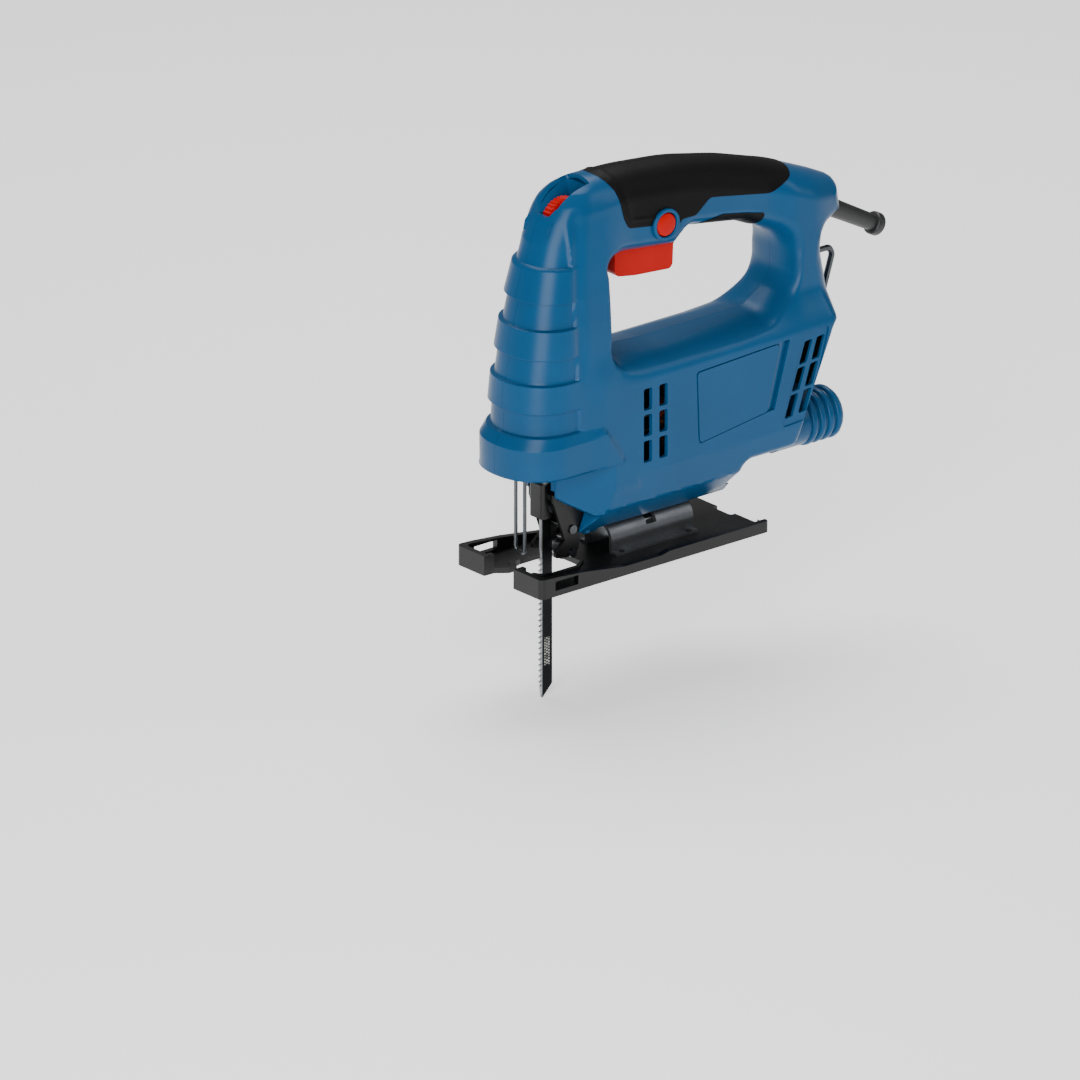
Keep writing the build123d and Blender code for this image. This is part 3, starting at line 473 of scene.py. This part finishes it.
# Each slot's finish: glass-filled nylon reads as an even satin blue whose sheen breaks up
# finely, the elastomer as a soft near-black that scatters light, metals as grey reflections
# drawn out along the way they were worked.
MATERIALS = {
    # satin moulded skin, spark-eroded grain of the mould
    "housing_blue": finish("moulded_blue_nylon", ("00446e", "003f66"), 0.31, 0.45, 0.005, 40,
                           swing=0.03, Specular_IOR_Level=0.2),
    # soft overmoulded elastomer, matt with a fine leather-like grain
    "grip_black": finish("overmoulded_soft_elastomer", ("020202", "030303"), 0.55, 0.6, 0.012, 25,
                         Specular_IOR_Level=0.12),
    # bright red moulding with a light sheen, almost no grain
    "control_red": finish("moulded_red_nylon", ("b00300", "a20300"), 0.33, 0.6, 0.004, 20,
                          Specular_IOR_Level=0.1),
    # matt black moulding, the sheen broken by a fine mould grain
    "black_plastic": finish("moulded_black_nylon", ("060708", "090a0b"), 0.45, 0.5, 0.006, 20,
                            Specular_IOR_Level=0.3),
    # vulcanised rubber, dull with a faint bloom
    "boot_rubber": finish("vulcanised_rubber", ("0c0d0e", "111213"), 0.45, 0.7, 0.010, 8),
    # baked black enamel over pressed steel: low sheen, faint orange peel
    "painted_steel_black": finish("baked_black_enamel_on_steel", ("030303", "060606"), 0.36, 1.2, 0.012,
                                  18, Specular_IOR_Level=0.35),
    # bare rolled sheet, rolling lines across the bend
    "saddle_steel": finish("rolled_grey_steel_sheet", ("6f7276", "5f6266"), 0.38, 0.5, 0.006, 12,
                           (1, 12, 12), Metallic=0.9),
    # grit-blasted and darkened steel: dull body, bright ground teeth, pale printed dashes
    "blade_steel": finish("blasted_blade_steel", ("0e0f11", "151618"), 0.45, 0.35, 0.006, 9,
                          (1, 1, 1), extra=blade_marks, Metallic=0.85),
    # drawn wire and turned pins: smooth, with drawing lines along Z
    "bright_steel": finish("drawn_bright_steel", ("55585b", "4a4d50"), 0.28, 0.4, 0.003, 9,
                           (6, 6, 1), Metallic=1.0),
    # zinc plating darkened by handling, a soft grey sheen
    "zinc_steel": finish("zinc_plated_steel", ("55585b", "4b4e51"), 0.36, 0.5, 0.006, 5, Metallic=1.0),
    # lathe-turned steel, fine rings across the shaft
    "steel": finish("turned_steel", ("9b9da0", "8a8c8f"), 0.3, 0.3, 0.004, 10, (8, 1, 1), Metallic=1.0),
    # die-cast zinc left as cast, faintly rippled and dull
    "die_cast": finish("die_cast_zinc", ("84878a", "75787c"), 0.5, 0.8, 0.02, 10, Metallic=0.9),
    # stacked punched sheets, dark lines where they meet
    "laminated_iron": finish("punched_iron_sheets", ("6b6d70", "5c5e61"), 0.45, 0.5, 0.008, 8,
                             extra=sheets, Metallic=0.9),
    # lacquered winding wire, warm and glossy
    "copper": finish("enamelled_copper_wire", ("b5622f", "a35327"), 0.3, 0.5, 0.02, 6, (1, 6, 6),
                     Metallic=0.9, Coat_Weight=0.4),
    # pressed and sintered bushes, slightly porous
    "bronze": finish("sintered_bronze", ("a9824a", "96713d"), 0.42, 0.3, 0.008, 5, Metallic=1.0),
    # glass epoxy under green resist, weave showing faintly
    "board_green": finish("etched_glass_epoxy_board", ("1e5b36", "245f3c"), 0.4, 0.5, 0.006, 6),
    # pressed carbon brush, dull dark grey
    "carbon": finish("pressed_carbon", ("242526", "2e2f30"), 0.6, 0.4, 0.01, 4),
}


def dressed(obj, slot, body, *nodes):
    """Give a new piece its finish and body, and hide the CAD nodes it stands for."""
    obj.data.materials.clear()
    obj.data.materials.append(MATERIALS[slot])
    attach(obj, body)
    if nodes:
        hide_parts(*nodes)
    return obj


# ------------------------------------------------------------------ housing
SCREW_POSTS = [(33, 194), (112, 182), (166, 163), (163, 103), (130, 42), (98, 38), (24, 52), (-14, 100)]
DIAL_X, DIAL_Z = 11.5, 184.3
LOCK_X, LOCK_Z = 65.0, 174.0


def circle(radius, x=0.0, z=0.0, count=48):
    """Points evenly round a circle."""
    turn = np.linspace(0, 2 * np.pi, count, endpoint=False)
    return np.stack([np.cos(turn), np.sin(turn)], 1) * radius + [x, z]


def lobe(points):
    """A closed outline with rounded corners, first point not repeated."""
    return rounded(points, closed=True)[:-1]


def panel(x0, x1, z0, z1, radius):
    """A rectangle with rounded corners."""
    return lobe([(x0, z0, radius), (x1, z0, radius), (x1, z1, radius), (x0, z1, radius)])


def slanted(low, high, width, start, end, radius=0.8):
    """A slot of the given width along the line from low to high, from start to end of its length."""
    low, high = np.array(low, float), np.array(high, float)
    a, b = low + start * (high - low), low + end * (high - low)
    tilt = np.array([width / 2, width * 0.06])
    return lobe([(*(a - tilt), radius), (*(a + tilt), radius), (*(b + tilt), radius), (*(b - tilt), radius)])


def half_housing():
    """Left half of the housing with everything that both halves share: the walled skin, the
    chin, dial tray and saddle groove joined on, then the vents, louvres and openings cut."""
    shell = walled(shell_sheet("housing_shell_left"), 2.2)
    chin = np.array([(-2.6, 60), (-2.6, 41.6), (17.4, 29.6), (17.4, 17.2), (21, 17.2), (21, 60)])
    tray = np.array([(-6.5, 181.5), (-5.4, 186.2), (1.5, 192.6), (8, 197.4), (16, 201.2), (25.8, 202.8),
                     (25.8, 192), (14, 190.6), (7, 189.2), (1.5, 187.2)])
    groove = np.array([(-0.1, 17.2), (-7.6, 17.2), (-12, 22), (-0.1, 22)])
    cut(shell, [prism("chin", chin, -10.1, -0.1), prism("tray", tray, -9.4, -0.1),
                prism("groove", groove, 14, 111, axis=0)], "UNION")
    cutters = [prism("vent", panel(x - 2.7, x + 2.7, z - 5.8, z + 5.8, 0.9), -40, -18)
               for x in (44.9, 55.1) for z in (60, 74, 88)]
    frame_line = lobe([(133.2, 50.5, 2), (151.5, 51.5, 2), (165.2, 98.8, 2), (147.8, 98, 2)])
    cutters.append(prism("vent_frame", frame_line, -40, -26.3))
    for low, high in (((138, 54), (152, 94.4)), ((147, 55), (160, 95))):
        for i in range(3):
            cutters.append(prism("vent", slanted(low, high, 5.3, i / 3 + 0.02, (i + 1) / 3 - 0.02),
                                 -40, -12))
    for z in (70, 77.3, 84.6, 92):
        rear = 165.4 + 0.43 * (z - 77)
        notch = lobe([(rear - 4.5, z - 0.8, 0.7), (rear + 9, z - 3.2), (rear + 9, z + 3.2),
                      (rear - 4.5, z + 0.8, 0.7)])
        cutters.append(prism("louvre", notch, -30, -5.5))
    trigger_room = np.array([(37.2, 152), (37.2, 144), (80, 139), (82.4, 158), (85, 165), (85, 178),
                             (66, 178), (66, 172.5), (37.2, 172.5)])
    cutters.append(prism("trigger_room", trigger_room, -8.4, 5))
    cutters.append(scoop("dial_pocket", -3.9, -8.8))
    cutters.append(prism("dial_slot", circle(13.3, DIAL_X, DIAL_Z, 64), -4.0, 5))
    cutters.append(prism("channel", np.array([(-40, 10), (12, 10), (12, 58.7), (-40, 58.7)]), -7.7, 5))
    cutters.append(prism("fork_slot", np.array([(-40, 5), (18.5, 5), (18.5, 45), (-40, 45)]), -10.3, 5))
    cutters.append(prism("arch", circle(10.9, 0, 8, 64), -1, 112, axis=0))
    cutters.append(prism("plunger_hole", circle(7, count=64), 50, 64, axis=2))
    cutters.append(prism("wire_hole", circle(1.1, -16.2, -3.5, 64), 40, 70, axis=2))
    return cut(shell, cutters)


def scoop(name, inner, outer):
    """The dial's pocket: a deep floor between Y = 0 and inner, rising to the crown's surface at
    outer. Each station has its X, its deep height and its height at the outer side."""
    stations = np.array([(-4.4, 190.6, 190.4), (-2.4, 190.2, 192.0), (1.5, 189.8, 196.0), (5, 191.2, 199.0),
                         (9, 192.6, 201.0), (13, 193.4, 202.6), (17, 193.8, 203.4), (19.6, 194.2, 203.6),
                         (20.6, 195.2, 203.8), (21.6, 200, 204.2), (22.4, 206.5, 206.5), (22.4, 216, 216),
                         (-18, 216, 216), (-18, 192, 192)])
    n = len(stations)
    rings = [np.stack([stations[:, 0], np.full(n, y), stations[:, k]], 1)
             for y, k in ((5, 1), (inner, 1), (outer, 2))]
    faces = grid_faces(3, n, wrap=True) + [list(range(n))[::-1], list(range(2 * n, 3 * n))]
    return merged(mesh_object(name, np.concatenate(rings), faces))


def mirrored(obj, name):
    """The same shape on the other side of the plane Y = 0."""
    mesh = obj.data.copy()
    mesh.name = name
    place = np.empty(len(mesh.vertices) * 3)
    mesh.vertices.foreach_get("co", place)
    place[1::3] *= -1
    mesh.vertices.foreach_set("co", place)
    mesh.flip_normals()
    twin = bpy.data.objects.new(name, mesh)
    bpy.context.scene.collection.objects.link(twin)
    return twin


def build_housing():
    """Both shells: the left one with the name panel's frame and the lock button's hole, the
    right one with a post and a counterbore for each housing screw."""
    left = half_housing()
    right = mirrored(left, "housing_shell_right")
    plate = lobe([(132.6, 97.1, 2), (123.5, 61.5, 2), (78.4, 55.4, 2), (76.9, 94.6, 2)])
    wedge = np.array([(131.4, -30, 97.1), (131.4, -26.9, 97.1), (138.6, -25.2, 97.3), (138.6, -30, 97.3),
                      (122.4, -30, 61.5), (122.4, -26.9, 61.5), (128.4, -25.2, 61.9), (128.4, -30, 61.9)])
    sides = [[0, 1, 2, 3], [7, 6, 5, 4], [0, 4, 5, 1], [1, 5, 6, 2], [2, 6, 7, 3], [3, 7, 4, 0]]
    cut(left, [prism("panel_recess", plate, -40, -26.2), merged(mesh_object("panel_groove", wedge, sides)),
               prism("lock_hole", circle(8.6, LOCK_X, LOCK_Z), -40, -15.9),
               prism("lock_bore", circle(6.5, LOCK_X, LOCK_Z), -40, -5)])
    posts, holes = [], []
    for x, z in SCREW_POSTS:
        seat = 19.0 if z < 110 else 11.0
        ring = circle(5.4, x, z)
        outer = half_width(ring[:, 0], ring[:, 1]).min() - 0.6
        posts.append(prism("post", ring, seat - 2, max(outer, seat + 0.5)))
        holes.append(prism("screw_hole", circle(4.0, x, z), seat, 40))
    cut(right, posts, "UNION")
    cut(right, holes)
    for obj, node in ((left, "housing_left"), (right, "housing_right")):
        shade(obj, 30)
        dressed(obj, "housing_blue", "housing", node)


# near side outline of the soft grip, and of the strip under the handle
GRIP = [(10, 222), (23.2, 209.3), (29.8, 205.0, 6), (33.2, 199, 8), (35.2, 191, 8), (37.2, 183.5, 8),
        (40.4, 177.6, 5), (58, 174.8, 10), (64, 171.0, 2), (72, 170, 4), (76.5, 174.2, 3),
        (85, 174.0, 5), (94.5, 181.4, 5), (104, 179.7, 10), (134.5, 174.0, 10), (142, 177.0, 6),
        (149.4, 179.6, 4), (153.3, 182, 3), (160, 222)]
STRIP = [(88, 163.8), (94, 168.5, 3), (103, 170.2, 5), (116, 167.6, 8), (131, 164.2, 2), (129, 152),
         (88, 152)]


def build_louvre_shade_sheet():
    """A thin black sheet that follows the rear wall just inside its louvres: painted shade for the shadow
    inside the housing behind them.
    """
    line = np.array([(155.4, 66), (168.3, 96), (167.7, 96), (154.8, 66)])
    dressed(prism("louvre_shade_sheet", line, -22.5, 22.5), "black_plastic", "housing")


def build_grips():
    """The soft skin: the housing's surface grown by 0.35 mm, kept inside two outlines; a thin
    ridge follows its front edge."""
    front = rounded([(24, 214), *GRIP[1:8]])

    def swell(x, z):
        far = nearest(front, np.stack([x, z], 1))[0]
        return 0.3 + 0.55 * np.exp(-((far - 4.2) / 0.8) ** 2) - 0.25 * (1 - ease(0, 1.2, far))

    sheet = walled(shell_sheet("grip_skin_left", swell), 1.6)
    parts = [prism("area", lobe(GRIP), -30, -0.12), prism("strip", lobe(STRIP), -30, -0.12)]
    area = cut(parts[0], [parts[1]], "UNION")
    left = cut(sheet, [area], "INTERSECT")
    right = mirrored(left, "grip_skin_right")
    cut(left, [prism("lock_seat", circle(8.7, LOCK_X, LOCK_Z), -40, -10)])
    for obj, node in ((left, "grip_left"), (right, "grip_right")):
        shade(obj, 35)
        dressed(obj, "grip_black", "housing", node)


build_housing()
# black sheet inside the rear louvres: painted shade, not a part of the tool
build_louvre_shade_sheet()
build_grips()


# ------------------------------------------------------------------ controls
def arc(centre, radius, start, end, count=7):
    """Points of an arc in a profile's own plane, angles in degrees."""
    a = np.radians(np.linspace(start, end, count))
    return [(centre[0] + radius * math.cos(t), centre[1] + radius * math.sin(t)) for t in a]


def build_controls():
    """The button, its ring and the dial, each a profile turned about an axis along Y; the
    dial's rim is rippled by 34 cosine ribs."""
    button = [(0, 0), (0, 6.0), (6.4, 6.1), *arc((6.5, 5.1), 1.0, 80, 12), (7.7, 4.4), (7.9, 3.0),
              (7.95, 0)]
    dressed(turned("lock_button_cap", button, (LOCK_X, -10.4, LOCK_Z), (0, -1, 0)),
            "control_red", "lock_button", "lock_on_button")
    ring = [(0, 6.5), (0, 8.5), *arc((1.5, 7.9), 0.6, 90, 0), *arc((1.5, 7.1), 0.6, 0, -90), (0, 6.5)]
    dressed(turned("lock_button_ring", ring, (LOCK_X, -16.0, LOCK_Z), (0, -1, 0), 64),
            "housing_blue", "housing", "lock_ring")
    half = 3.25
    dial = [(0, 0), (0, 9.5), (0.2, 11.1), (0.5, 11.9), (0.9, 12.5), (half, 12.5), (2 * half - 0.9, 12.5),
            (2 * half - 0.5, 11.9), (2 * half - 0.2, 11.1), (2 * half, 9.5), (2 * half, 0)]
    dressed(turned("dial_wheel", dial, (DIAL_X, -half, DIAL_Z), (0, 1, 0), 240, 34, 0.6, 11.6),
            "control_red", "speed_dial", "speed_dial")


def build_rear():
    """The dust port, a tube whose four ribs are half waves of a sine, and the cord boot, a
    tapering sleeve that leans down to the rear and ends in a rounded collar."""
    crest, root = 14.0, 12.1
    port = [(0, 11.5), (0, 13.0), (18.5, 13.0)]
    turns = np.linspace(0.05, math.pi - 0.05, 11)
    for i in range(4):
        x = 19.4 + 5.4 * i
        rib = [(x + 0.5 + 1.85 * (1 - math.cos(t)), root + (crest - root) * math.sin(t) ** 0.7)
               for t in turns]
        port += [(x, root), *rib, (x + 4.7, root)]
    port += [(41, root), (41, 11.5), (0, 11.5)]
    dressed(turned("dust_port_spigot", port, (146, 0, 39.6), (1, 0, 0), 96), "housing_blue",
            "housing", "dust_port")
    lean = math.radians(28.6)
    boot = [(-7, 3.7), (-7, 7.3), (-4.5, 7.3), (-4.4, 5.0), (2, 4.9), (30, 4.5), (36.6, 4.4),
            *arc((38.0, 4.9), 1.2, 170, 90), *arc((40.7, 4.9), 1.2, 80, 0), (41.9, 4.2), (41.2, 3.7),
            (-7, 3.7)]
    dressed(turned("cord_boot_sleeve", boot, (183, 0, 151.8), (math.cos(lean), 0, -math.sin(lean)), 64),
            "boot_rubber", "housing", "cord_boot")


build_controls()
build_rear()

# The CAD's own parts keep their shape; pressed and moulded ones get their small edge rounds.
EDGES = {"trigger": 1.0, "base_plate": 0.9, "tilt_saddle": 0.35, "guide_bracket": 0.3, "name_panel": 0.2,
         "key_clip": 0.4, "blade_clamp": 0.3}
for node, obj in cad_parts.items():
    slot = obj.data.materials[0].name.split(".")[0]
    obj.material_slots[0].link = "OBJECT"
    obj.material_slots[0].material = MATERIALS[slot]
    if node in EDGES:
        mod = obj.modifiers.new("edges", "BEVEL")
        mod.width = EDGES[node] * MM
        mod.segments = 3
        mod.limit_method = "ANGLE"
        mod.angle_limit = math.radians(35)
        mod.harden_normals = True


# ------------------------------------------------------------------ stage
def build_stage():
    """A pale level floor just under the blade's tip, an even white sky and three soft lights."""
    low = cad_box[0][2]
    size = 3.0
    n = 24
    t = np.linspace(-1, 1, n)
    gx, gy = np.meshgrid(t * size, t * size)
    verts = np.stack([gx.ravel(), gy.ravel(), np.full(n * n, low)], 1)
    floor = mesh_object("floor", verts / MM, grid_faces(n, n))
    mat = bpy.data.materials.new("pale_floor")
    mat.use_nodes = True
    for socket, value in (("Base Color", (0.9, 0.9, 0.9, 1)), ("Roughness", 0.9),
                          ("Emission Color", (1, 1, 1, 1)), ("Emission Strength", 0.5)):
        mat.node_tree.nodes["Principled BSDF"].inputs[socket].default_value = value
    floor.data.materials.append(mat)
    world = bpy.data.worlds.new("studio")
    bpy.context.scene.world = world
    world.use_nodes = True
    world.node_tree.nodes["Background"].inputs[0].default_value = (1, 1, 1, 1)
    world.node_tree.nodes["Background"].inputs[1].default_value = 0.27
    aim = Vector((0.06, 0, 0.08))
    for name, bearing, rise, far, energy, wide, tall in (("key", -51, 18, 1.5, 30, 0.8, 1.6),
                                                         ("top", 150, 68, 1.5, 24, 1.2, 1.0),
                                                         ("side", 50, 30, 1.7, 6, 0.5, 1.4)):
        data = bpy.data.lights.new(name, "AREA")
        data.shape = "RECTANGLE"
        data.energy, data.size, data.size_y = energy, wide, tall
        lamp = bpy.data.objects.new(name, data)
        turn, up = math.radians(bearing), math.radians(rise)
        way = Vector((math.sin(turn) * math.cos(up), -math.cos(turn) * math.cos(up), math.sin(up)))
        lamp.location = aim + way * far
        lamp.rotation_euler = way.to_track_quat("Z", "Y").to_euler()
        bpy.context.scene.collection.objects.link(lamp)


def build_camera():
    """At 40 degrees round to the front left and 21.2 degrees up, 15 m away through a long lens."""
    right = Vector((0.766, -0.643, 0.0))
    up = Vector((0.2324, 0.2770, 0.9323))
    back = Vector((-0.5993, -0.7142, 0.3616))
    data = bpy.data.cameras.new("camera")
    data.lens = 994
    data.sensor_width = 36
    data.clip_end = 50
    cam = bpy.data.objects.new("camera", data)
    cam.location = right * -0.0025 + up * 0.0143 + back * 15.0
    cam.rotation_euler = (-back).to_track_quat("-Z", "Y").to_euler()
    bpy.context.scene.collection.objects.link(cam)
    bpy.context.scene.camera = cam


build_stage()
build_camera()
